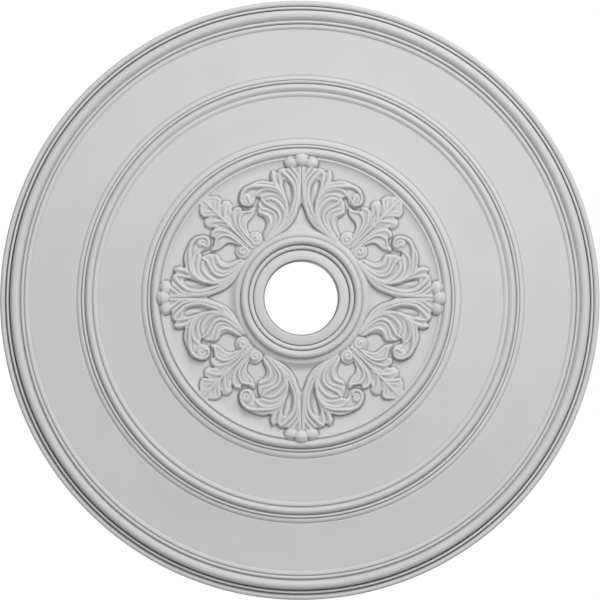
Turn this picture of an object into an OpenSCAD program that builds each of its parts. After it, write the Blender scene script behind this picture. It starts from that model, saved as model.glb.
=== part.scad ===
// Moulded ceiling rose: a round plate with a hub ring, two ring mouldings, a rim moulding and
// a ring of acanthus carving, cast as one piece with one hole through its middle.
// Its flat back lies on the ceiling at z = 0 and its face looks down, towards -z.

/* [Overall] */
// Diameter over the rim
rose_d = 800; // [680:1:960]
// Thickness of the plate where the outer field meets the rim moulding
plate_t = 15; // [12.5:0.5:18]
// Diameter of the hole for the lamp's rod and wires
hole_d = 98; // [82:1:118]

/* [Hub ring] */
// Width of the flat round the hole
hub_flat_w = 14; // [11:0.5:17]
// Width of the narrow fillet inside the hub's torus
hub_fillet_w = 4; // [3:0.5:5]
// Width of the hub's torus, the highest moulding
hub_torus_w = 10; // [8:0.5:12]
// Width of the sloping fillet outside the torus
hub_apron_w = 7; // [5.5:0.5:8.5]
// Height of the torus over the floor of the dish
hub_rise = 12.8; // [11:0.2:15.4]

/* [Dish and its carving] */
// Width of the dish from the hub ring to the inner ring
dish_w = 97; // [81:1:116]
// Height of the dish's floor over the inner field
dish_step = 2.5; // [1.5:0.5:4]
// Width of the cove that lifts the dish to the inner ring
dish_cove_w = 11; // [8:1:14]
// Height of that cove
dish_cove_rise = 2.6; // [1.5:0.1:3.5]
// Height of the tallest fronds over the floor of the dish
carving_h = 8; // [6:0.5:9.6]
// Diameter of the spiral volutes beside the diagonals
volute_d = 19; // [16:0.5:22]
// Diameter of the scroll that ends each acanthus
scroll_d = 22; // [18:0.5:26]
// Diameter of the middle lobe of the knobs on the axes
knob_d = 21; // [17.5:0.5:25]

/* [Fields] */
// Share of the two plain fields' width that the inner one takes
inner_field_share = 0.48; // [0.35:0.005:0.6]
// Fall of the inner field from the inner ring to the outer ring
inner_field_fall = 2.4; // [1:0.2:3.6]
// Fall of the outer field from the outer ring to the rim
outer_field_fall = 2; // [1:0.2:3]
// Step up from the outer field to the inner field
field_step = 3.3; // [2:0.1:4.5]

/* [Inner and outer ring] */
// Width of the inner ring's torus
inner_torus_w = 9.6; // [8:0.2:11.6]
// Width of the outer ring's torus
outer_torus_w = 8; // [6.6:0.2:9.6]
// Height of the inner ring's torus over the field outside it
inner_torus_rise = 8.3; // [7:0.1:10]
// Height of the outer ring's torus over the field outside it
outer_torus_rise = 7.2; // [6:0.1:8.8]
// Width of the bead outside each torus
bead_w = 3.4; // [2.8:0.2:4.2]
// Height of that bead over the field outside it
bead_rise = 4; // [3:0.1:5]
// Width of the flat fillet outside the bead
ring_fillet_w = 7.6; // [6.2:0.2:9.2]
// Height of that fillet over the field
ring_fillet_rise = 1.3; // [0.8:0.1:2]
// Width of the fillet inside the inner ring's torus
inner_lip_w = 3; // [2.4:0.2:3.6]
// Width of the fillet inside the outer ring's torus
outer_lip_w = 5.4; // [4.4:0.2:6.6]
// Width of the quirk, the narrow groove between two mouldings
quirk_w = 1.6; // [1.2:0.1:2]

/* [Rim moulding] */
// Width of the fillet at the inner side of the rim
rim_fillet_w = 4.9; // [4:0.1:6]
// Width of the rim's torus
rim_torus_w = 12.3; // [10.2:0.1:14.8]
// Height of the rim's torus over the plate
rim_torus_rise = 5.5; // [4.5:0.5:6.6]
// Width of the bead inside the rim's torus
rim_bead_w = 3.6; // [3:0.2:4.4]
// Width of the bead in the groove outside the torus
rim_groove_bead_w = 4; // [3.2:0.2:4.8]
// Width of the half-round edge
rim_roll_w = 7.3; // [6:0.1:8.8]
// Height of the top of that edge over the back
rim_roll_h = 12; // [10:0.5:14]

/* [Hidden] */

turn_fn = 180;
arc_fn = 32;
knob_fn = 48;
dish_fn = 72;
field_steps = 7;
cove_steps = 2;

// Heights of the plain surfaces over the back, from the rim inwards
outer_field_h = plate_t + outer_field_fall;
inner_field_edge_h = outer_field_h + field_step;
inner_field_h = inner_field_edge_h + inner_field_fall;
dish_h = inner_field_h + dish_step;
hub_h = dish_h + hub_rise;

// How far the members of the hub ring lie under the crown of its torus
hub_flat_in_drop = 7.6;
hub_flat_out_drop = 6.6;
hub_fillet_in_drop = 4.6;
hub_fillet_out_drop = 4.4;
apron_in_drop = 6.6;
apron_out_drop = 8;
hub_inner_quirk_h = hub_h - hub_flat_out_drop - 1.2;
hub_outer_quirk_h = hub_h - 6.4;

// How far the fillet inside each ring's torus lies over the surface it ends, and its quirk under it
inner_lip_rise = 1;
outer_lip_rise = 1.6;
quirk_drop = 1.6;

// Heights of a ring's outer quirk over its field, and of the rim's members over the plate
quirk_lift = 1.4;
rim_fillet_rise = 1.7;
rim_inner_quirk_rise = 0.4;
rim_bead_rise = 3.8;
rim_outer_quirk_rise = 1.2;

// Heights of the members outside the rim's torus over or under the top of the edge
groove_bead_rise = 2.6;
deep_quirk_drop = 1.6;
edge_quirk_drop = 2.6;

// The profile from the hole outwards, in groups that meet face to face. Each member is
// [kind, width, height at its inner side, height at its outer side]: a flat runs straight from
// one height to the other, a hollow curves between them, and a round has its crown at the height.
hub = [
    ["flat", hub_flat_w, hub_h - hub_flat_in_drop, hub_h - hub_flat_out_drop],
    ["flat", quirk_w, hub_inner_quirk_h, hub_inner_quirk_h],
    ["flat", hub_fillet_w, hub_h - hub_fillet_in_drop, hub_h - hub_fillet_out_drop],
    ["flat", quirk_w, hub_outer_quirk_h, hub_outer_quirk_h],
    ["round", hub_torus_w, hub_h],
    ["flat", hub_apron_w, hub_h - apron_in_drop, hub_h - apron_out_drop]
];
function ring(lip_w, lip_h, torus_w, torus_rise, field_h) = [
    ["flat", lip_w, lip_h, lip_h],
    ["flat", quirk_w, lip_h - quirk_drop, lip_h - quirk_drop],
    ["round", torus_w, field_h + torus_rise],
    ["flat", quirk_w, field_h + quirk_lift, field_h + quirk_lift],
    ["round", bead_w, field_h + bead_rise],
    ["flat", ring_fillet_w, field_h + ring_fillet_rise, field_h + ring_fillet_rise]
];
inner_lip_h = dish_h + dish_cove_rise + inner_lip_rise;
outer_lip_h = inner_field_edge_h + outer_lip_rise;
inner_ring = ring(inner_lip_w, inner_lip_h, inner_torus_w, inner_torus_rise, inner_field_h);
outer_ring = ring(outer_lip_w, outer_lip_h, outer_torus_w, outer_torus_rise, outer_field_h);
rim = [
    ["flat", rim_fillet_w, plate_t + rim_fillet_rise, plate_t + rim_fillet_rise],
    ["flat", quirk_w, plate_t + rim_inner_quirk_rise, plate_t + rim_inner_quirk_rise],
    ["round", rim_bead_w, plate_t + rim_bead_rise],
    ["flat", quirk_w, plate_t + rim_outer_quirk_rise, plate_t + rim_outer_quirk_rise],
    ["round", rim_torus_w, plate_t + rim_torus_rise],
    ["flat", quirk_w, rim_roll_h - deep_quirk_drop, rim_roll_h - deep_quirk_drop],
    ["round", rim_groove_bead_w, rim_roll_h + groove_bead_rise],
    ["flat", quirk_w, rim_roll_h - edge_quirk_drop, rim_roll_h - edge_quirk_drop],
    ["round", rim_roll_w, rim_roll_h]
];

function width(members, i = 0) = i >= len(members) ? 0 : members[i][1] + width(members, i + 1);

hole_r = hole_d / 2;
dish_r = hole_r + width(hub);
inner_ring_r = dish_r + dish_w;
fields_w = rose_d / 2 - inner_ring_r - width(inner_ring) - width(outer_ring) - width(rim);
inner_field_w = fields_w * inner_field_share;
surround = concat(
    inner_ring,
    [["hollow", inner_field_w, inner_field_h, inner_field_edge_h]],
    outer_ring,
    [["hollow", fields_w - inner_field_w, outer_field_h, plate_t]],
    rim
);

// The carved dish is let this far into the mouldings beside it and the bed under it. The bed runs
// further under those mouldings, and its top lies a little under the dish's floor.
overlap = 2;
bed_overlap = 3;
bed_drop = 1;
bed_h = dish_h - bed_drop;

// Height across a hollow that runs level into its lower side
function hollow(s, a, b) = a > b ? b + (a - b) * pow(1 - s, 2) : a + (b - a) * pow(s, 2);

module member(r, m) {
    w = m[1];
    if (m[0] == "round") {
        translate([r, 0]) square([w, m[2] - w / 2]);
        translate([r + w / 2, m[2] - w / 2]) circle(d = w, $fn = arc_fn);
    } else {
        steps = m[0] == "flat" ? 1 : field_steps;
        top = [for (i = [0 : steps]) [r + w * i / steps, hollow(i / steps, m[2], m[3])]];
        polygon(concat([[r + w, 0], [r, 0]], top));
    }
}

module turned(start_r, group) {
    rotate_extrude($fn = turn_fn)
        for (i = [0 : len(group) - 1])
            member(start_r + width([for (k = [0 : 1 : i - 1]) group[k]]), group[i]);
}

// A place on the dish: u runs from 0 at the hub to 1 at the inner ring, a is degrees off the axis
function place(u, a) = let (r = dish_r + u * dish_w) [r * sin(a), r * cos(a)];
function places(points) = [for (p = points) place(p[0], p[1])];

// A spiral round a centre, from angle a0 and radius r0 to angle a1 and radius r1
function spiral(c, r0, r1, a0, a1, steps) = [
    for (i = [0 : steps])
        let (r = r0 + (r1 - r0) * i / steps, a = a0 + (a1 - a0) * i / steps)
        c + r * [cos(a), sin(a)]
];

// A smooth curve through the points p, with t from 0 to 1
function along(p, t) =
    let (
        n = len(p) - 1,
        i = min(floor(t * n), n - 1),
        f = t * n - i,
        a = p[max(i - 1, 0)],
        b = p[i],
        c = p[i + 1],
        d = p[min(i + 2, n)]
    )
    (2 * b + (c - a) * f + (2 * a - 5 * b + 4 * c - d) * f * f + (3 * b - a - 3 * c + d) * f * f * f) / 2;

// A value that goes from v[0] through v[1] to v[2] along a frond
function blend(v, t) = v[0] * (1 - t) * (1 - 2 * t) + v[1] * 4 * t * (1 - t) + v[2] * t * (2 * t - 1);

// A frond: a ridge along a path, with widths w and heights h at its start, middle and end.
// Its edges are let into the floor.
module frond(path, w, h, steps = 5) {
    ridge = [[-1, -1], [0, 1], [1, -1]];
    spots = [
        for (i = [0 : steps], q = ridge)
            let (
                t = i / steps,
                here = along(path, t),
                ahead = along(path, min(t + 0.01, 1)) - along(path, max(t - 0.01, 0)),
                side = [-ahead[1], ahead[0]] / norm(ahead),
                half = blend(w, t) / 2 * q[0]
            )
            [here[0] + side[0] * half, here[1] + side[1] * half, q[1] < 0 ? -1 : blend(h, t) * carving_h]
    ];
    sides = [
        for (i = [0 : steps - 1], j = [0 : 2])
            let (n = (j + 1) % 3)
            [i * 3 + j, i * 3 + n, (i + 1) * 3 + n, (i + 1) * 3 + j]
    ];
    polyhedron(points = spots, faces = concat(sides, [[2, 1, 0], [steps * 3, steps * 3 + 1, steps * 3 + 2]]));
}

// Half of an acanthus, from its axis to the diagonal: a stalk that runs from the volute along the hub
// and up the axis, two leaf tips beside the knob, the arch with its scroll, and the inner fronds
module half_acanthus() {
    volute = place(0.13, 38);
    scroll = place(0.63, 27.5);
    coil_w = 4;
    frond(spiral(volute, (volute_d - coil_w) / 2, coil_w / 2, -100, 330, 9), [4, 4, 4], [0.5, 0.7, 0.8], 9);
    frond(places([[0.04, 40], [0.04, 28], [0.08, 15], [0.3, 3], [0.87, 1.2]]), [4, 4, 3], [0.5, 0.6, 0.6], 6);
    frond(places([[0.08, 30], [0.13, 16], [0.36, 6], [0.87, 4]]), [5, 5, 6], [0.6, 0.8, 0.7]);
    frond(places([[0.1, 28], [0.2, 14], [0.48, 6], [0.88, 7.5]]), [5, 6, 4], [0.6, 0.8, 0.6]);
    frond(places([[0.46, 9.5], [0.6, 9.5], [0.74, 10.5], [0.88, 11]]), [3, 9, 3], [0.6, 0.8, 0.5], 3);
    frond(
        concat(
            places([[0.1, 26], [0.25, 12], [0.5, 8.5], [0.72, 15], [0.78, 22]]),
            spiral(scroll, (scroll_d - coil_w) / 2, coil_w * 3 / 4, 60, -240, 4)
        ),
        [5, 10, 6],
        [0.6, 1, 0.9],
        12
    );
    frond(places([[0.1, 30], [0.24, 15], [0.42, 11.5], [0.58, 16], [0.62, 24]]), [5, 9, 4], [0.6, 0.9, 0.7]);
    frond(places([[0.1, 31], [0.22, 18.5], [0.37, 15.5], [0.53, 20]]), [5, 8, 4], [0.6, 0.9, 0.7], 4);
    frond(places([[0.12, 31], [0.25, 21.5], [0.38, 22], [0.55, 25.5]]), [5, 7, 4], [0.6, 0.8, 0.6], 4);
    frond(places([[0.16, 31.5], [0.24, 25.5], [0.34, 24.5], [0.44, 27]]), [4, 6, 3], [0.5, 0.7, 0.4], 3);
}

// Half of the leaf on the diagonal: its three side lobes and the leaflet that curls away at its foot
module half_leaf() {
    frond(places([[0.62, 44], [0.78, 41.5], [0.92, 40.5]]), [4, 12, 5], [0.5, 0.7, 0.5], 3);
    frond(places([[0.42, 44], [0.58, 41], [0.72, 38.5]]), [4, 11, 6], [0.5, 0.8, 0.6], 3);
    frond(places([[0.25, 43.5], [0.42, 40], [0.56, 37.5]]), [4, 9, 6], [0.5, 0.8, 0.6], 3);
    frond(places([[0.2, 42.5], [0.3, 38], [0.4, 34.5], [0.42, 31], [0.5, 28]]), [4, 9, 3], [0.5, 0.7, 0.4]);
}

module leaf_blade() {
    frond(places([[0.5, 45], [0.78, 45], [0.98, 45]]), [10, 26, 6], [0.4, 0.55, 0.3], 4);
    frond(places([[0.16, 45], [0.96, 45]]), [4, 4, 3], [0.5, 0.85, 0.5], 3);
}

// The floor of the dish, with the cove that lifts it to the inner ring
module dish_floor() {
    flat_r = inner_ring_r - dish_cove_w;
    cove = [
        for (i = [1 : cove_steps])
            [flat_r + dish_cove_w * i / cove_steps, hollow(i / cove_steps, 0, dish_cove_rise)]
    ];
    rotate_extrude($fn = dish_fn)
        polygon(concat(
            [[inner_ring_r + overlap, -overlap], [dish_r - overlap, -overlap], [dish_r - overlap, 0], [flat_r, 0]],
            cove,
            [[inner_ring_r + overlap, dish_cove_rise]]
        ));
}

// Floor and carving as one surface, sized to reach under the mouldings on both sides
module carved_dish() {
    dish_d = 2 * (inner_ring_r + overlap);
    resize([dish_d, dish_d, 0])
        union() {
            dish_floor();
            for (turn = [0 : 90 : 270]) {
                rotate(turn - 45) mirror([1, 0, 0]) rotate(-45) leaf_blade();
                rotate(turn)
                    for (flip = [0, 1])
                        mirror([flip, 0, 0]) {
                            half_acanthus();
                            half_leaf();
                        }
            }
        }
}

// The knob that ties each acanthus to the inner ring: a middle lobe between two smaller ones
module knob() {
    lobe_r = knob_d / 2;
    side_lobe_r = 0.8 * lobe_r;
    side_x = 4 / 3 * lobe_r;
    side_inset = lobe_r / 2;
    translate([0, inner_ring_r - overlap, 0]) sphere(lobe_r, $fn = knob_fn);
    for (side = [-1, 1])
        translate([side * side_x, inner_ring_r - side_inset, -bed_drop]) sphere(side_lobe_r, $fn = knob_fn);
}

module ceiling_rose() {
    color("whitesmoke")
        rotate([180, 0, 0]) {
            turned(hole_r, hub);
            turned(inner_ring_r, surround);
            union() {
                translate([0, 0, dish_h]) carved_dish();
                turned(dish_r - bed_overlap, [["flat", dish_w + 2 * bed_overlap, bed_h, bed_h]]);
            }
            for (turn = [0 : 90 : 270])
                rotate(turn)
                    translate([0, 0, bed_h]) knob();
        }
}

ceiling_rose();
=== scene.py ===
# Moulded ceiling rose, seen from below: one fine mesh over the CAD solid, primed for painting.
# Lengths are millimetres until the mesh is written in metres. Heights are over the flat back.
import math

import bpy
import numpy as np
from mathutils import Matrix, Vector


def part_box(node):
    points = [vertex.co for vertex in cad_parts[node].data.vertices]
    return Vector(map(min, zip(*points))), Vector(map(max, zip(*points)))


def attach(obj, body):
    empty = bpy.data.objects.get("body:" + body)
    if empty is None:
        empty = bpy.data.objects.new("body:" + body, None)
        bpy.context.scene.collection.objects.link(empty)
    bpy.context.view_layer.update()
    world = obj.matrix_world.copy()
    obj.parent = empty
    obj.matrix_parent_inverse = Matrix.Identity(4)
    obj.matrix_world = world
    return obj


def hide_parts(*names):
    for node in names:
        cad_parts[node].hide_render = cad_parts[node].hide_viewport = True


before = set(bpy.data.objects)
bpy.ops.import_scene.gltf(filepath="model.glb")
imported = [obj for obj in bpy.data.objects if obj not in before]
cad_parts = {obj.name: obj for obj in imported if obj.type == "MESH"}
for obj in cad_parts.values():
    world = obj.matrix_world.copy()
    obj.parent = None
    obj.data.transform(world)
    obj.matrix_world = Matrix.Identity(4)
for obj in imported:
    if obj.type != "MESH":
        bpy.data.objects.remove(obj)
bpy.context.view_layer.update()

mm = 0.001
cadLow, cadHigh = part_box("ceiling_rose")


def hexToLinear(code):
    channels = [int(code[i:i + 2], 16) / 255 for i in (1, 3, 5)]
    linear = [c / 12.92 if c <= 0.04045 else ((c + 0.055) / 1.055) ** 2.4 for c in channels]
    return (*linear, 1.0)


def addNode(tree, kind, settings=None, links=None):
    node = tree.nodes.new(kind)
    for name, value in (settings or {}).items():
        if name in node.inputs:
            node.inputs[name].default_value = value
        else:
            setattr(node, name, value)
    for name, source in (links or {}).items():
        tree.links.new(source, node.inputs[name])
    return node


def smoothStep(low, high, x):
    t = np.clip((x - low) / (high - low), 0, 1)
    return t * t * (3 - 2 * t)


profile = {
    "holeRadius": 49.0,
    "roseRadius": cadHigh.x / mm,
    "topHeight": -cadLow.z / mm,
    "plate": 15.0,          # where the outer field meets the rim
    "outerFall": 2.0,
    "fieldStep": 3.3,
    "innerFall": 2.4,
    "dishStep": 2.5,
    "dishWidth": 97.0,
    "footWidth": 11.0,      # of the cove that the hub ring stands on
    "footTop": 6.8,         # how far under the crown that cove starts
    "coveWidth": 11.0,
    "coveRise": 2.6,
    "innerShare": 0.4755,   # of the width of the two plain fields
    "quirk": 1.6,
    "quirkDepth": 1.6,      # of a quirk's middle under its edges
    "softness": 0.24,       # how far primer rounds every corner
    "creaseReach": 1.4,
    "step": 0.05,
}

# Members from the inside out: kind, width, and two heights over a level, which is the crown for the hub and
# the plate for the rim. A flat has a height at each end. A round has its first height at its crown and a
# quirk at its edges, and their second isn't used.
hubRing = [
    ("flat", 13.6, -7.6, -6.8),
    ("quirk", profile["quirk"], -8.2, 0),
    ("flat", 4.9, -4.8, -4.4),
    ("quirk", profile["quirk"], -5.8, 0),
    ("round", 9.6, 0, 0),
    ("quirk", 0.8, -5.7, 0),
    ("flat", 6.1, -6.0, -6.6),
]
rimRing = [
    ("flat", 4.9, 1.7, 1.7),
    ("quirk", profile["quirk"], 1.1, 0),
    ("round", 3.6, 3.8, 0),
    ("quirk", profile["quirk"], 1.7, 0),
    ("round", 13.0, 5.5, 0),
    ("quirk", profile["quirk"], -6.6, 0),
    ("round", 3.6, -0.4, 0),
    ("quirk", profile["quirk"], -6.4, 0),
    ("round", 7.0, -3.0, 0),
]

# The two rings between the fields share their make and differ in these sizes.
innerRing = {"lip": 2.6, "lipRise": 1.0, "torus": 10.4, "torusRise": 8.3, "bead": 3.3, "fillet": 7.1}
outerRing = {"lip": 5.4, "lipRise": 1.6, "torus": 9.0, "torusRise": 7.2, "bead": 3.5, "fillet": 5.3}
ringMake = {
    "lipQuirkDrop": 0.8,
    "torusQuirkRise": 2.1,
    "beadRise": 4.0,
    "beadQuirk": 0.9,
    "filletRise": 1.9,
    "filletEnd": 1.1,
    "footQuirk": 1.1,
    "thinQuirkRise": 0.2,   # of the two narrow quirks beside the fillet
}


def atLevel(members, level):
    return [(kind, width, level + first, level + last) for kind, width, first, last in members]


def ringMembers(ring, lipBase, field):
    make = ringMake
    lip = lipBase + ring["lipRise"]
    return [
        ("flat", ring["lip"], lip, lip),
        ("quirk", profile["quirk"], lip - make["lipQuirkDrop"], 0),
        ("round", ring["torus"], field + ring["torusRise"], 0),
        ("quirk", profile["quirk"], field + make["torusQuirkRise"], 0),
        ("round", ring["bead"], field + make["beadRise"], 0),
        ("quirk", make["beadQuirk"], field + make["thinQuirkRise"], 0),
        ("flat", ring["fillet"], field + make["filletRise"], field + make["filletEnd"]),
        ("quirk", make["footQuirk"], field + make["thinQuirkRise"], 0),
    ]


def widthOf(members):
    return sum(member[1] for member in members)


def buildProfile(p):
    outerField = p["plate"] + p["outerFall"]
    innerEdge = outerField + p["fieldStep"]
    innerField = innerEdge + p["innerFall"]
    dish = innerField + p["dishStep"]
    hubMembers = atLevel(hubRing, p["topHeight"])
    dishMembers = [
        ("hollow", p["footWidth"], p["topHeight"] - p["footTop"], dish),
        ("flat", p["dishWidth"] - p["coveWidth"] - p["footWidth"], dish, dish),
        ("hollow", p["coveWidth"], dish, dish + p["coveRise"]),
    ]
    innerMembers = ringMembers(innerRing, dish + p["coveRise"], innerField)
    outerMembers = ringMembers(outerRing, innerEdge, outerField)
    rimMembers = atLevel(rimRing, p["plate"])
    fields = p["roseRadius"] - p["holeRadius"] - widthOf(
        hubMembers + dishMembers + innerMembers + outerMembers + rimMembers
    )
    innerWidth = fields * p["innerShare"]
    members = (
        hubMembers + dishMembers + innerMembers
        + [("hollow", innerWidth, innerField, innerEdge)]
        + outerMembers
        + [("hollow", fields - innerWidth, outerField, p["plate"])]
        + rimMembers
    )
    dishStart = p["holeRadius"] + widthOf(hubMembers)
    innerStart = dishStart + p["dishWidth"] + widthOf(innerMembers)
    rimStart = p["roseRadius"] - widthOf(rimMembers)
    outerStart = rimStart - (fields - innerWidth)
    fieldEnds = [innerStart, innerStart + innerWidth, outerStart, rimStart]
    return members, dish, dishStart, fieldEnds


def sampleProfile(p, members):
    radius = np.arange(p["holeRadius"], p["roseRadius"] + p["step"] / 2, p["step"])
    height = np.zeros_like(radius)
    start = p["holeRadius"]
    for kind, width, first, last in members:
        s = (radius - start) / width
        inside = (s > -1e-9) & (s < 1 + 1e-9)
        s = np.clip(s, 0, 1)
        if kind == "round":
            across = (2 * s - 1) * width / 2
            top = first - width / 2 + np.sqrt(np.maximum((width / 2) ** 2 - across ** 2, 0))
        elif kind == "quirk":
            top = first - p["quirkDepth"] * (1 - (2 * s - 1) ** 2)
        elif kind == "flat":
            top = first + (last - first) * s
        elif first > last:
            top = last + (first - last) * (1 - s) ** 2
        else:
            top = first + (last - first) * s ** 2
        height = np.where(inside, np.maximum(height, top), height)
        start += width
    return radius, height


def soften(height, p):
    reach = int(4 * p["softness"] / p["step"])
    x = np.arange(-reach, reach + 1) * p["step"]
    kernel = np.exp(-0.5 * (x / p["softness"]) ** 2)
    kernel /= kernel.sum()
    padded = np.concatenate([np.full(reach, height[0]), height, np.full(reach, height[-1])])
    return np.convolve(padded, kernel, mode="valid")


def blur(row, sigma, axis, wrap):
    # Gaussian blur of a table along one axis, sigma in cells
    reach = max(1, int(3 * sigma))
    weights = np.exp(-0.5 * (np.arange(-reach, reach + 1) / sigma) ** 2)
    weights /= weights.sum()
    pad = [(0, 0)] * row.ndim
    pad[axis] = (reach, reach)
    padded = np.pad(row, pad, mode="wrap" if wrap else "edge")
    length = row.shape[axis]
    total = 0
    for k, w in enumerate(weights):
        total = total + w * np.take(padded, range(k, k + length), axis=axis)
    return total


def pickRows(radius, height, low, high, error, widest):
    # rows only where the profile bends, and never further apart than the widest gap
    index = np.where((radius >= low - 1e-6) & (radius <= high + 1e-6))[0]
    r, h = radius[index], height[index]
    keep = {0, len(r) - 1}
    stack = [(0, len(r) - 1)]
    while stack:
        a, b = stack.pop()
        if b - a < 2:
            continue
        dr, dh = r[b] - r[a], h[b] - h[a]
        off = np.abs((r[a:b + 1] - r[a]) * dh - (h[a:b + 1] - h[a]) * dr) / math.hypot(dr, dh)
        worst = int(off.argmax())
        if off[worst] < error and dr < widest:
            continue
        if off[worst] < error:
            worst = (b - a) // 2
        keep.add(a + worst)
        stack += [(a, a + worst), (a + worst, b)]
    return [float(r[i]) for i in sorted(keep)]


members, dishFloor, dishStart, fieldEnds = buildProfile(profile)
profileRadius, sharpHeight = sampleProfile(profile, members)
profileHeight = soften(sharpHeight, profile)
# how far each place lies under its surroundings: the material paints shade into the creases and a highlight
# onto the crests by it
profileRecess = blur(profileHeight, profile["creaseReach"] / profile["step"], 0, False) - profileHeight
print("profile turned from", len(members), "members, dish floor at", round(dishFloor, 2), "mm")

# How every leaf, ridge and boss is shaped.
carving = {
    "hollowSide": 3.0,      # how wide a hollow's eased side is
    "fullBody": 1.5,        # ridges stand in full where the leaf's body is this high
    "leastRidge": 0.25,     # and at this share where it has none
    "crown": 1.5,           # a higher value broadens a ridge's crown
    "flank": 1.3,           # and a higher one here spreads its foot
    "dome": 2.6,            # a higher value squares a boss
    "spiralReach": 0.93,    # how near its centre a boss's spiral line ends
    "spiralPoints": 60,
}

# Half of one acanthus, to the right of its axis. Places are (aside, outward) from the rose's centre.
# Widths and heights are at a ridge's start, middle and end; heights stand over the leaf's body.
acanthus = {
    "body": 3.8,            # height of the leaf over the dish floor
    "side": 1.9,            # how wide its eased side is
    "outline": [
        (-6, 174), (-6, 151), (-4, 133), (3.5, 117.5), (8, 104.5), (16, 93.5), (25.5, 85.5), (39, 77),
        (48.5, 73.5), (51.5, 83.5), (48, 92.5), (47, 99.5), (49.5, 105.5), (56, 109.5), (58, 114.5),
        (58, 123), (56, 129), (55, 132), (60, 132.5), (64, 123), (71.5, 120), (80, 123), (83, 131),
        (80.5, 141), (75.5, 147), (68.5, 150.5), (62, 153.5), (51, 156), (41, 154.5), (42, 160.5),
        (40, 167), (37, 169.5), (32.5, 167), (29.5, 170.5), (24.5, 172.5), (19.5, 172.5), (10, 178),
    ],
    "hollow": [
        (24.5, 158), (26.5, 148.5), (23.5, 138.5), (20.5, 130), (17.5, 117), (13.5, 123), (11, 133),
        (11, 142), (13.5, 150.5), (19, 156.5),
    ],
    "hollowShare": 0.75,    # of the body's height that the hollow takes away
    "ridges": [
        ([(69, 148), (62, 152), (51, 153.5), (40.5, 152), (31.5, 147.5), (24.5, 138.5), (20, 130),
          (18.5, 117.5), (18.5, 108)], (3.5, 5.5, 4.5), (1.6, 2.2, 2.6)),
        ([(71.5, 131), (68.5, 128.5), (68, 124.5), (72, 122.5), (78, 124.5), (80.5, 131), (78, 139),
          (73, 144.5), (65.5, 147.5), (54.5, 148), (43, 147.5), (34.5, 145.5), (27.5, 140), (22, 131.5),
          (19, 120), (19.5, 108)], (4, 8, 4.5), (3.4, 4.2, 3.4)),
        ([(60.5, 136), (54.5, 142), (45.5, 144), (36.5, 142.5), (30, 139), (23.5, 131), (20, 120),
          (21, 106.5)], (4, 7, 4.5), (2, 3.2, 3)),
        ([(56.5, 133), (47.5, 136), (39, 137), (30.5, 134.5), (23.5, 126.5), (20.5, 116.5),
          (21.5, 105.5)], (4, 6.5, 4.5), (1.2, 2, 2.6)),
        ([(47, 130.5), (39, 131), (31, 126.5), (24.5, 119), (21.5, 111), (23, 102.5), (28.5, 93.5),
          (36, 84.5), (43, 79)], (5, 9, 4.5), (2.4, 3, 2.6)),
        ([(52, 130), (48, 125), (41, 121), (33, 116), (29, 109), (29.5, 101), (34.5, 92.5), (41, 84),
          (47.5, 77)], (5, 7, 4.5), (3, 3.2, 2.4)),
        ([(56.5, 124.5), (53, 118.5), (45, 116.5), (37.5, 113), (34, 106.5), (34.5, 100), (39, 91.5),
          (45, 83)], (4, 4.5, 3), (1.4, 1.6, 1.2)),
        ([(57, 113.5), (51, 111.5), (44, 108), (41, 101.5), (42, 94.5), (46.5, 86.5), (50.5, 80)],
          (5, 7, 4.5), (2, 2.8, 2)),
        ([(37.5, 168.5), (37.5, 162), (35.5, 154), (30, 145.5), (24.5, 136), (20.5, 126.5),
          (18.5, 115.5)], (5, 7, 4), (2.2, 2.6, 2.6)),
        ([(29, 169), (23.5, 165.5), (16, 158.5), (10.5, 150.5), (8.5, 141), (8.5, 131), (11.5, 120),
          (16, 109), (23.5, 98), (33.5, 87), (43, 78)], (7, 6, 4.5), (2.6, 3.4, 2.4)),
        ([(29, 168.5), (29, 159.5), (27, 149.5), (23.5, 140), (20, 130), (18, 119)], (4, 5, 4),
          (2, 2.6, 2.8)),
        ([(22, 157), (18.5, 149.5), (18, 142), (19.5, 133)], (5, 6, 5), (1, 1.6, 1)),
        ([(19.5, 171.5), (13.5, 165), (7.5, 157), (5, 146.5), (5, 133), (7.5, 120), (12.5, 108),
          (20.5, 98), (31.5, 87.5), (43, 78)], (4, 5, 4.5), (2, 3, 2)),
        ([(2.5, 173), (2.2, 151), (3, 133), (5.5, 119), (10.5, 106.5), (18.5, 95), (30, 86.5), (41, 79),
          (51, 72.5)], (3.5, 4.5, 4.5), (2.4, 2.8, 2)),
        ([(16, 176.5), (10, 169.5), (5, 161.5), (3.5, 151), (3.5, 137.5)], (5, 4, 3), (2.4, 2, 1)),
    ],
}

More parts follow.
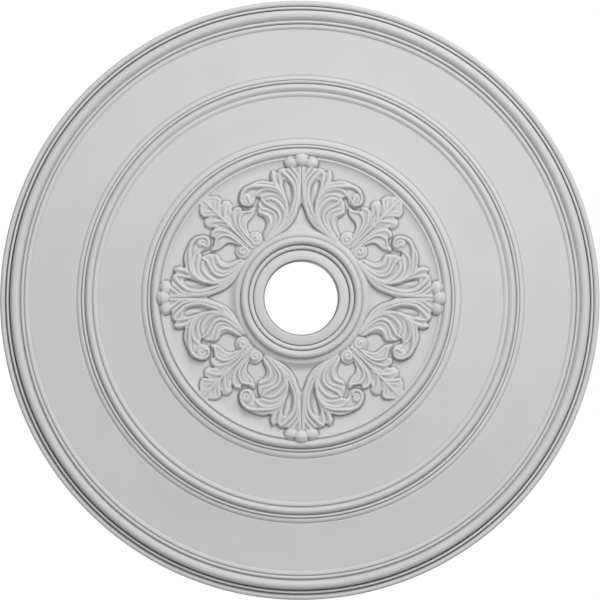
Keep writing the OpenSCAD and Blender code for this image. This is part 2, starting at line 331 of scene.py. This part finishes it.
# Half of one diagonal leaf, in the same way, along its own midrib.
leaf = {
    "body": 3.4,
    "side": 1.9,
    "outline": [
        (-9, 185.5), (0, 185.5), (7.5, 182), (13.5, 177.5), (16.5, 172.5), (17, 167.5), (14.5, 164),
        (12.5, 163), (17, 164), (21.5, 161), (23, 156), (21.5, 151), (17, 147), (22.5, 147), (26.5, 144),
        (28, 141), (26.5, 137), (32.5, 132), (37, 131.5), (41.5, 128.5), (38.5, 125), (33, 122),
        (26.5, 121), (20, 120.5), (15, 117), (12, 111), (9.5, 104.5), (6, 98), (0, 91.5), (-9, 91.5),
    ],
    "hollow": [
        (14, 151), (9, 148), (5, 143), (3.5, 138), (6, 135), (8.5, 137), (10.5, 143),
    ],
    "hollowShare": 0.55,
    "ridges": [
        ([(0, 182.5), (0, 159), (0, 132.5), (0, 111), (0, 92.5)], (4, 5, 4), (1.4, 3.2, 2.4)),
        ([(0, 157.5), (3.5, 164), (8.5, 170), (12, 173.5)], (4, 4, 3), (2, 1.2, 0.6)),
        ([(0, 168), (2.5, 173.5), (6, 178)], (3, 3, 2.5), (1.2, 0.9, 0.5)),
        ([(0, 151), (4, 159), (9.5, 164), (15, 168), (14, 174.5), (6.5, 181.5)], (4, 5, 4),
          (2.2, 1.7, 1)),
        ([(0, 137.5), (2, 144), (6.5, 150), (13, 155), (19, 157)], (4, 6, 7), (2.4, 2.2, 1)),
        ([(2, 133.5), (4, 140.5), (9.5, 146), (16, 150)], (3, 3.5, 4), (2.4, 1.8, 0.9)),
        ([(2.5, 98), (3.5, 111), (5.5, 123), (8.5, 132.5), (14, 140.5), (20.5, 144), (26, 141.5)],
          (3, 4, 6), (1.6, 2, 1.8)),
        ([(5, 95.5), (6.5, 106), (7.5, 116.5), (10.5, 126.5), (16.5, 132.5), (24, 134.5), (30, 131.5),
          (34.5, 127.5), (39.5, 128.5)], (3.5, 5, 4), (2, 3, 1.6)),
        ([(8, 100.5), (10.5, 111), (14.5, 118.5), (20, 122), (26, 123), (32, 124), (37, 126.5)],
          (3.5, 4, 3), (0.8, 1.2, 1)),
    ],
}

# Round bosses: the volute at the foot and the scroll at the tip of the arched frond, each with a spiral line.
bosses = {
    "volute": dict(centre=(61, 77.5), radius=10.2, height=6.4, start=-100, turn=560, line=1.5, depth=1.8),
    "scroll": dict(centre=(72, 132), radius=9.5, height=6.4, start=20, turn=330, line=1.5, depth=1.7),
}

# The knob over each acanthus tip: a middle lobe and one at each side.
# For each lobe: its centre, half width, half length and height.
knob = {
    "lobes": [
        ((0, 183.4), 10.6, 9.7, 9.8),
        ((12.8, 180.0), 10.2, 8.2, 7.8),
        ((-12.8, 180.0), 10.2, 8.2, 7.8),
    ],
    "fullness": 0.42,       # lower is squarer
}


def curveThrough(points, count):
    p = np.array(points, float)
    p = np.vstack([2 * p[0] - p[1], p, 2 * p[-1] - p[-2]])
    spans = len(p) - 3
    t = np.linspace(0, spans, count)
    i = np.minimum(t.astype(int), spans - 1)
    f = (t - i)[:, None]
    a, b, c, d = p[i], p[i + 1], p[i + 2], p[i + 3]
    return (2 * b + (c - a) * f + (2 * a - 5 * b + 4 * c - d) * f ** 2 + (3 * b - a - 3 * c + d) * f ** 3) / 2


def threeWay(v, t):
    return v[0] * (1 - t) * (1 - 2 * t) + v[1] * 4 * t * (1 - t) + v[2] * t * (2 * t - 1)


def nearest(x, y, line):
    # how far each place is from a line, and how far along the line that is
    seg = np.diff(line, axis=0)
    length = np.hypot(seg[:, 0], seg[:, 1])
    along = np.concatenate([[0], np.cumsum(length)])
    along /= along[-1]
    best = np.full(x.shape, 1e9)
    place = np.zeros(x.shape)
    for k in range(len(seg)):
        ax, ay = x - line[k, 0], y - line[k, 1]
        f = np.clip((ax * seg[k, 0] + ay * seg[k, 1]) / max(length[k] ** 2, 1e-9), 0, 1)
        gap = np.hypot(ax - f * seg[k, 0], ay - f * seg[k, 1])
        closer = gap < best
        best = np.where(closer, gap, best)
        place = np.where(closer, along[k] + f * (along[k + 1] - along[k]), place)
    return best, place


def ridge(x, y, path, width, height):
    line = curveThrough(path, 7 * len(path))
    gap, place = nearest(x, y, line)
    v = np.clip(gap / (threeWay(width, place) / 2), 0, 1)
    return threeWay(height, place) * (1 - v ** carving["crown"]) ** carving["flank"]


def inside(x, y, outline, side):
    # 1 well inside a closed outline, 0 outside it, with an eased step between
    line = curveThrough(outline + outline[:1], 6 * len(outline))
    gap, _ = nearest(x, y, line)
    odd = np.zeros(x.shape, bool)
    for (ax, ay), (bx, by) in zip(line[:-1], line[1:]):
        if ay == by:
            continue
        crosses = ((ay > y) != (by > y)) & (x < (bx - ax) * (y - ay) / (by - ay) + ax)
        odd ^= crosses
    return np.where(odd, np.sqrt(smoothStep(0, side, gap)), 0)


def leafHeight(x, y, part):
    body = part["body"] * inside(x, y, part["outline"], part["side"])
    body *= 1 - part["hollowShare"] * inside(x, y, part["hollow"], carving["hollowSide"])
    relief = np.zeros(x.shape)
    for path, width, height in part["ridges"]:
        relief = np.maximum(relief, ridge(x, y, path, width, height))
    return body + relief * np.clip(body / carving["fullBody"], carving["leastRidge"], 1)


def bossHeight(x, y, boss):
    cx, cy = boss["centre"]
    d = np.hypot(x - cx, y - cy) / boss["radius"]
    dome = boss["height"] * np.maximum(1 - d ** carving["dome"], 0) ** 0.5
    points = []
    for t in np.linspace(0, 1, carving["spiralPoints"]):
        r = boss["radius"] * (1 - carving["spiralReach"] * t)
        a = math.radians(boss["start"] + boss["turn"] * t)
        points.append((cx + r * math.cos(a), cy + r * math.sin(a)))
    gap, place = nearest(x, y, np.array(points))
    groove = boss["depth"] * np.exp(-(gap / boss["line"]) ** 2) * smoothStep(0.02, 0.2, place)
    return np.where(d < 1, dome - groove, -5)


def knobHeight(x, y):
    rise = np.full(x.shape, -5.0)
    for (cx, cy), wide, long, high in knob["lobes"]:
        d2 = ((x - cx) / wide) ** 2 + ((y - cy) / long) ** 2
        rise = np.maximum(rise, np.where(d2 < 1, high * np.maximum(1 - d2, 0) ** knob["fullness"], -5))
    return rise


def carvedHeight(x, y):
    # the carving at places in one eighth of the rose, 0 <= x <= y, over the dish floor
    total = np.maximum(leafHeight(x, y, acanthus), leafHeight(-x, y, acanthus))
    total = np.maximum(total, leafHeight(y, x, acanthus))
    aside, outward = (y - x) / math.sqrt(2), (y + x) / math.sqrt(2)
    total = np.maximum(total, leafHeight(aside, outward, leaf))
    total = np.maximum(total, leafHeight(-aside, outward, leaf))
    for boss in bosses.values():
        for mx, my in ((x, y), (-x, y), (y, x)):
            total = np.maximum(total, bossHeight(mx, my, boss))
    return total


mesh = {
    "sideColumns": 320,     # columns round the mouldings, twice as many round the carving
    "carvedRow": 1.3,
    "carvedEnd": 184.0,     # rows as fine as the profile needs start here
    "knobEnd": 196.5,
    "rowError": 0.15,
    "outerError": 0.195,    # a little coarser outside the carving
    "knobRow": 1.6,
    "widestRow": 16.0,
    "backRings": 4,
    "holeShade": 3.0,       # recess given to the hole's wall, so that painted shade draws its edge as a dark line
    "lipShade": 3.5,
    "creases": ((1.4, 1.9), (5.0, 0.05)),    # reach in mm, and share, of the creases that get painted shade and painted highlight
    "leastCarving": 0.02,   # what rises less than this over the dish floor is left out
    "plainLift": 0.3,       # and under this the mouldings keep their own creases
    "nearEdges": (1.7, 3.8),    # rows this far from the fields' and the hole's edges, to keep creases narrow
    "edgeEase": 1.2,        # chamfer of the back's edges
    "wallStop": 1.6,        # this and the next three are in eases, round the hole's front edge
    "lipOut": 0.4,
    "lipDown": 0.5,
    "firstRow": 0.9,
    "limit": 199000,
}


def reliefTable(rows, columns):
    # one eighth worked out, then mirrored and turned round the rose
    eighth = columns // 8
    angles = np.arange(eighth + 1) * (2 * math.pi / columns)
    r, a = np.meshgrid(rows, angles, indexing="ij")
    x, y = r * np.sin(a), r * np.cos(a)
    base = np.interp(r, profileRadius, profileHeight)
    carved = carvedHeight(x, y)
    height = np.where(carved > mesh["leastCarving"], np.maximum(base, dishFloor + carved), base)
    height = np.maximum(height, dishFloor + knobHeight(x, y))
    quarter = np.concatenate([height, height[:, -2:0:-1]], axis=1)
    height = np.concatenate([quarter] * 4, axis=1)
    # recess for painted shade and highlight: positive where a place lies under its surroundings, negative
    # where it stands over them
    plain = np.interp(rows, profileRadius, profileRecess)[:, None]
    lift = height - np.interp(rows, profileRadius, profileHeight)[:, None]
    recess = plain * (lift < mesh["plainLift"])
    for reach, share in mesh["creases"]:
        cells = reach / mesh["carvedRow"]
        recess = recess + share * (blur(blur(lift, cells, 0, False), cells, 1, True) - lift)
    return height, recess


def listRings():
    # closed loop of rings: up the hole, over the face, down the rim and back along the back
    columns = mesh["sideColumns"]
    error, widest = mesh["rowError"], mesh["widestRow"]
    hole, rose = profile["holeRadius"], profile["roseRadius"]
    inner = pickRows(profileRadius, profileHeight, hole, dishStart - 1, error, widest)
    inner = sorted(inner + [hole + gap for gap in mesh["nearEdges"]])
    knobs = pickRows(profileRadius, profileHeight, mesh["carvedEnd"], mesh["knobEnd"], error, mesh["knobRow"])
    outer = pickRows(profileRadius, profileHeight, mesh["knobEnd"], rose, mesh["outerError"], widest)
    for a, b in zip(fieldEnds[::2], fieldEnds[1::2]):
        outer += [a + gap for gap in mesh["nearEdges"]] + [b - gap for gap in mesh["nearEdges"]]
    outer.sort()
    steps = int(round((knobs[0] - inner[-1]) / mesh["carvedRow"]))
    carvedRows = np.concatenate([np.linspace(inner[-1], knobs[0], steps + 1), knobs[1:]])
    relief, reliefRecess = reliefTable(carvedRows, 2 * columns)

    rings = []

    def addRing(r, height=None, recess=None):
        if height is None:
            height = float(np.interp(r, profileRadius, profileHeight))
        if recess is None:
            recess = float(np.interp(r, profileRadius, profileRecess))
        rings.append((r, np.full(columns, height), np.full(columns, recess)))

    ease = mesh["edgeEase"]
    lip = float(profileHeight[0])
    for r, h in ((hole + ease, 0), (hole, ease), (hole, lip * 0.5), (hole, lip - mesh["wallStop"] * ease)):
        addRing(r, h, mesh["holeShade"])
    addRing(hole + mesh["lipOut"] * ease, lip - mesh["lipDown"] * ease, mesh["lipShade"])
    for r in inner[:-1]:
        if r > hole + mesh["firstRow"] * ease:
            addRing(r)
    for r, row, recess in zip(carvedRows, relief, reliefRecess):
        rings.append((float(r), row, recess))
    for r in outer[1:]:
        addRing(r)
    addRing(rose, ease, 0.0)
    addRing(rose - ease, 0.0, 0.0)
    for k in range(mesh["backRings"], 0, -1):
        share = k / (mesh["backRings"] + 1)
        addRing(hole + ease + (rose - hole - 2 * ease) * share, 0.0, 0.0)
    return rings


def stitch(sa, na, sb, nb):
    # faces between two rings, the second with as many places, twice as many or half as many
    few, many = (sa, sb) if na < nb else (sb, sa)
    i = np.arange(min(na, nb))
    j = (i + 1) % min(na, nb)
    if na == nb:
        return np.stack([sa + i, sa + j, sb + j, sb + i], axis=1).tolist()
    m0, m1, m2 = 2 * i, 2 * i + 1, (2 * i + 2) % max(na, nb)
    triangles = [
        np.stack([few + i, many + m1, many + m0], axis=1),
        np.stack([few + i, few + j, many + m1], axis=1),
        np.stack([few + j, many + m2, many + m1], axis=1),
    ]
    return [face for t in triangles for face in (t if na < nb else t[:, ::-1]).tolist()]


def buildRose():
    rings = listRings()
    vertices, starts, faces = [], [], []
    total = 0
    for r, row, _ in rings:
        a = np.arange(len(row)) * (2 * math.pi / len(row))
        vertices.append(np.stack([r * np.sin(a), r * np.cos(a), -row], axis=1))
        starts.append(total)
        total += len(row)
    vertices = np.concatenate(vertices) * mm
    for k in range(len(rings)):
        n = (k + 1) % len(rings)
        faces += stitch(starts[k], len(rings[k][1]), starts[n], len(rings[n][1]))
    triangles = sum(len(f) - 2 for f in faces)
    print("rose meshed:", len(rings), "rings,", triangles, "triangles")
    if triangles > mesh["limit"]:
        raise ValueError("too many triangles: " + str(triangles))
    data = bpy.data.meshes.new("ceilingRose")
    data.from_pydata(vertices.tolist(), [], faces)
    data.validate()
    data.polygons.foreach_set("use_smooth", [True] * len(data.polygons))
    recess = data.attributes.new("recess", "FLOAT", "POINT")
    recess.data.foreach_set("value", np.concatenate([ring[2] for ring in rings]).astype(np.float32))
    data.update()
    obj = bpy.data.objects.new("ceilingRose", data)
    bpy.context.collection.objects.link(obj)
    return obj


rose = buildRose()

primer = {
    "colour": "#D2D2D2",
    "shade": "#CFCFCF",     # a shade deeper, in faint clouds
    "paintedCreaseShade": "#8A8A8A",   # painted shade in the creases, standing in for the shade that falls there
    "paintedCrestHighlight": "#D8D8D8",     # painted highlight along the crests, standing in for the light they catch
    "paintedShadeDepth": 1.75,    # mm under the surface round about, at which the painted shade is full
    # mm over the surface round about, at which the painted highlight is full
    "paintedHighlightHeight": 1.2,
    "roughness": 0.62,
    "ior": 1.48,
    "cloudSize": 60.0,      # mm
    "grainSize": 0.9,       # mm; real primer grain is finer, drawn coarse enough to show
    "grainDepth": 0.03,     # mm
}


def primedUrethane(p):
    # rigid urethane foam, moulded and primed matt white: soft even light, no gloss, a faint sanded grain;
    # painted shade in creases, painted highlight on crests
    material = bpy.data.materials.new("primedUrethane")
    material.use_nodes = True
    tree = material.node_tree
    shader = tree.nodes["Principled BSDF"]
    place = addNode(tree, "ShaderNodeTexCoord").outputs["Object"]
    cloudSettings = {"Scale": 1 / (p["cloudSize"] * mm), "Detail": 3.0}
    clouds = addNode(tree, "ShaderNodeTexNoise", cloudSettings, {"Vector": place})
    tint = addNode(tree, "ShaderNodeMix", {"data_type": "RGBA"})
    tint.inputs[6].default_value = hexToLinear(p["shade"])
    tint.inputs[7].default_value = hexToLinear(p["colour"])
    spread = addNode(
        tree, "ShaderNodeMapRange", {"From Min": 0.35, "From Max": 0.65}, {"Value": clouds.outputs["Fac"]}
    )
    tree.links.new(spread.outputs["Result"], tint.inputs[0])
    recess = addNode(tree, "ShaderNodeAttribute", {"attribute_name": "recess"}).outputs["Fac"]
    colour = tint.outputs[2]
    # painted shade in the creases, then a painted highlight along the crests, both by the recess attribute
    for depth, code in ((p["paintedShadeDepth"], p["paintedCreaseShade"]), (-p["paintedHighlightHeight"], p["paintedCrestHighlight"])):
        reach = addNode(tree, "ShaderNodeMapRange", {"From Max": depth}, {"Value": recess})
        layer = addNode(tree, "ShaderNodeMix", {"data_type": "RGBA"})
        layer.inputs[7].default_value = hexToLinear(code)
        tree.links.new(reach.outputs["Result"], layer.inputs[0])
        tree.links.new(colour, layer.inputs[6])
        colour = layer.outputs[2]
    tree.links.new(colour, shader.inputs["Base Color"])
    grainSettings = {"Scale": 1 / (p["grainSize"] * mm), "Detail": 2.0}
    grain = addNode(tree, "ShaderNodeTexNoise", grainSettings, {"Vector": place})
    bumpSettings = {"Strength": 1.0, "Distance": p["grainDepth"] * mm}
    bump = addNode(tree, "ShaderNodeBump", bumpSettings, {"Height": grain.outputs["Fac"]})
    tree.links.new(bump.outputs["Normal"], shader.inputs["Normal"])
    shader.inputs["Roughness"].default_value = p["roughness"]
    shader.inputs["IOR"].default_value = p["ior"]
    return material


rose.data.materials.append(primedUrethane(primer))
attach(rose, "root")
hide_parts("ceiling_rose")
print("primer on")

# In metres, degrees and watts.
studio = {
    "distance": 2.4,        # camera from the face, three widths of the rose
    "tilt": 2.8,            # degrees off square
    "tiltBearing": 237,     # degrees anticlockwise from the view's right: the camera stands low left
    "frameWidth": 0.7985,
    "keyBearing": 63,       # the key light comes from the view's upper right
    "keySlope": 50,         # degrees off square
    "keyDistance": 3.2,
    "keySize": 1.5,
    "keyPower": 64.0,
    "fillDistance": 3.0,    # broad soft light from straight in front
    "fillSize": 3.0,
    "fillPower": 37.5,
    "backPlace": (1.2, -1.4, 1.8),  # over the flat back, to show it from behind
    "backSize": 1.2,
    "backPower": 40.0,
    "sky": 0.1,
    "floorDrop": 3.2,
    "floorHalf": 6.0,
    "floorColour": "#E6E6E6",
    "floorRoughness": 0.9,
    "aimAside": 0.0016,     # the camera's aim, off the rose's centre
    "aimUp": -0.0025,
}


def viewDirection(bearing):
    # seen from below, so the view's right is -X and its top +Y
    a = math.radians(bearing)
    return Vector((-math.cos(a), math.sin(a), 0))


def aim(obj, at, up):
    forward = (at - obj.location).normalized()
    right = forward.cross(up).normalized()
    top = right.cross(forward)
    rows = [(right[i], top[i], -forward[i]) for i in range(3)]
    obj.matrix_world = Matrix.Translation(obj.location) @ Matrix(rows).to_4x4()


def addLight(name, location, at, size, power):
    data = bpy.data.lights.new(name, "AREA")
    data.shape = "DISK"
    data.size = size
    data.energy = power
    light = bpy.data.objects.new(name, data)
    bpy.context.collection.objects.link(light)
    light.location = location
    aim(light, at, Vector((0, 1, 0)))
    return light


face = Vector((studio["aimAside"], studio["aimUp"], -profile["plate"] * mm))
camData = bpy.data.cameras.new("camera")
camera = bpy.data.objects.new("camera", camData)
bpy.context.collection.objects.link(camera)
tilt = math.radians(studio["tilt"])
camera.location = face + studio["distance"] * (
    viewDirection(studio["tiltBearing"]) * math.sin(tilt) + Vector((0, 0, -math.cos(tilt)))
)
aim(camera, face, Vector((0, 1, 0)))
camData.sensor_fit = "HORIZONTAL"
camData.angle = 2 * math.atan(studio["frameWidth"] / 2 / studio["distance"])
bpy.context.scene.camera = camera

slope = math.radians(studio["keySlope"])
keyPlace = studio["keyDistance"] * (
    viewDirection(studio["keyBearing"]) * math.sin(slope) + Vector((0, 0, -math.cos(slope)))
)
addLight("keyLight", keyPlace, face, studio["keySize"], studio["keyPower"])
fillPlace = Vector((0, 0, -studio["fillDistance"]))
addLight("fillLight", fillPlace, face, studio["fillSize"], studio["fillPower"])
addLight("backLight", Vector(studio["backPlace"]), Vector((0, 0, 0)), studio["backSize"], studio["backPower"])

floorMesh = bpy.data.meshes.new("floor")
half = studio["floorHalf"]
corners = [(-half, -half, 0), (half, -half, 0), (half, half, 0), (-half, half, 0)]
floorMesh.from_pydata(corners, [], [(0, 1, 2, 3)])
floor = bpy.data.objects.new("floor", floorMesh)
bpy.context.collection.objects.link(floor)
floor.location = (0, 0, -studio["floorDrop"])
paper = bpy.data.materials.new("palePaper")     # flat matt sheet, so that nothing shines under the rose
paper.use_nodes = True
paperShader = paper.node_tree.nodes["Principled BSDF"]
paperShader.inputs["Base Color"].default_value = hexToLinear(studio["floorColour"])
paperShader.inputs["Roughness"].default_value = studio["floorRoughness"]
floorMesh.materials.append(paper)

world = bpy.data.worlds.new("studio")
bpy.context.scene.world = world
world.use_nodes = True
tree = world.node_tree
tree.nodes.clear()
rays = addNode(tree, "ShaderNodeLightPath")
raysSeen = {0: rays.outputs["Is Camera Ray"], 1: rays.outputs["Is Glossy Ray"]}
seen = addNode(tree, "ShaderNodeMath", {"operation": "MAXIMUM"}, raysSeen)
soft = addNode(tree, "ShaderNodeBackground", {"Color": (1, 1, 1, 1), "Strength": studio["sky"]})
white = addNode(tree, "ShaderNodeBackground", {"Color": (1, 1, 1, 1), "Strength": 1.0})
mixed = addNode(
    tree, "ShaderNodeMixShader", {}, {0: seen.outputs[0], 1: soft.outputs[0], 2: white.outputs[0]}
)
addNode(tree, "ShaderNodeOutputWorld", {}, {"Surface": mixed.outputs[0]})

bpy.context.scene.view_settings.view_transform = "Standard"
print("studio set")
